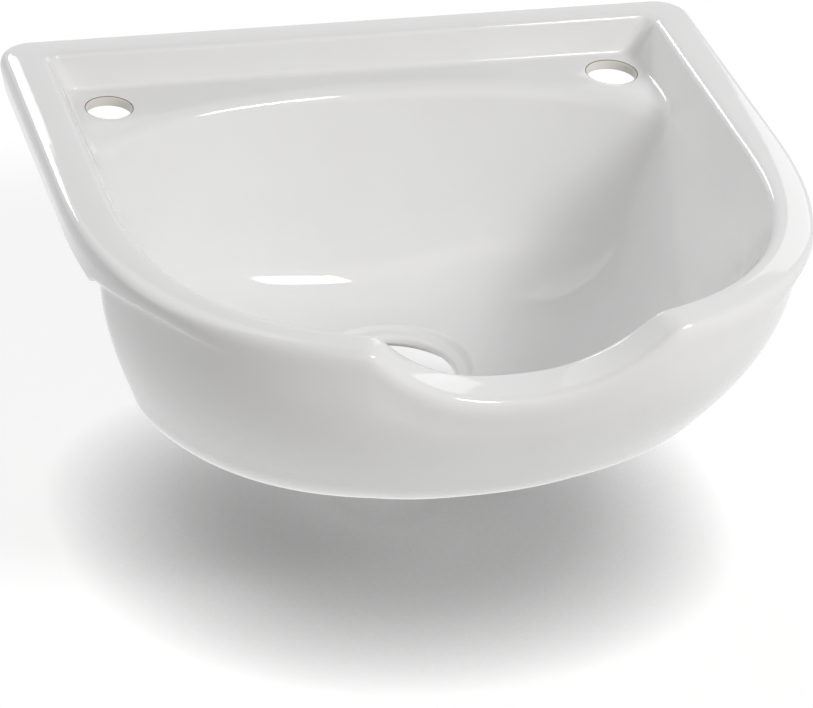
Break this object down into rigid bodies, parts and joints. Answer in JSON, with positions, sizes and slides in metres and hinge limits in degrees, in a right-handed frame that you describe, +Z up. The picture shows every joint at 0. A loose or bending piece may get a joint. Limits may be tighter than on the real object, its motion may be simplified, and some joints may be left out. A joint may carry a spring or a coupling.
{
  "type": "backwash shampoo basin",
  "caption": "Glazed china backwash basin with a round front, a cut-down neck rest, a tap ledge at the back and a tilting steel wall bracket.",
  "frame": {"origin": "middle of the wall bracket's back face, where it meets the wall", "axes": "+X to the right of the person who stands before the neck rest and looks at the wall, +Y into the wall, +Z up; the basin hangs level at joint value 0"},
  "size_m": [0.5008, 0.4549, 0.199],
  "materials": {
    "white_china": "glossy white glaze",
    "zinc_steel": "zinc plated",
    "bolt_steel": "bright zinc",
    "spring_steel": "oiled dark",
    "sleeve_brass": "turned",
    "pad_rubber": "matte",
    "bush_nylon": "natural",
    "friction_fibre": "pressed fibre"
  },
  "bodies": {
    "wall_side": {"wall_bracket": "zinc_steel", "pivot_bush_left": "bush_nylon", "pivot_bush_right": "bush_nylon"},
    "basin_side": {"basin_body": "white_china", "lug_sleeves": "sleeve_brass", "lug_pads": "pad_rubber", "tilt_carrier": "zinc_steel", "carrier_bolts": "bolt_steel", "carrier_washers": "bolt_steel", "pivot_bolt_left": "bolt_steel", "pivot_bolt_right": "bolt_steel", "head_washer_left": "bolt_steel", "head_washer_right": "bolt_steel", "friction_disc_left": "friction_fibre", "friction_disc_right": "friction_fibre", "nut_washer_left": "bolt_steel", "nut_washer_right": "bolt_steel", "disc_springs_left": "spring_steel", "disc_springs_right": "spring_steel", "lock_nut_left": "bolt_steel", "lock_nut_right": "bolt_steel", "stop_pin_left": "bolt_steel", "stop_pin_right": "bolt_steel"}
  },
  "joints": [
    {"name": "basin_tilt", "type": "hinge", "parent": "wall_side", "child": "basin_side", "pos_m": [0, -0.04, 0.025], "axis": [1, 0, 0], "range_deg": [0, 20]}
  ]
}
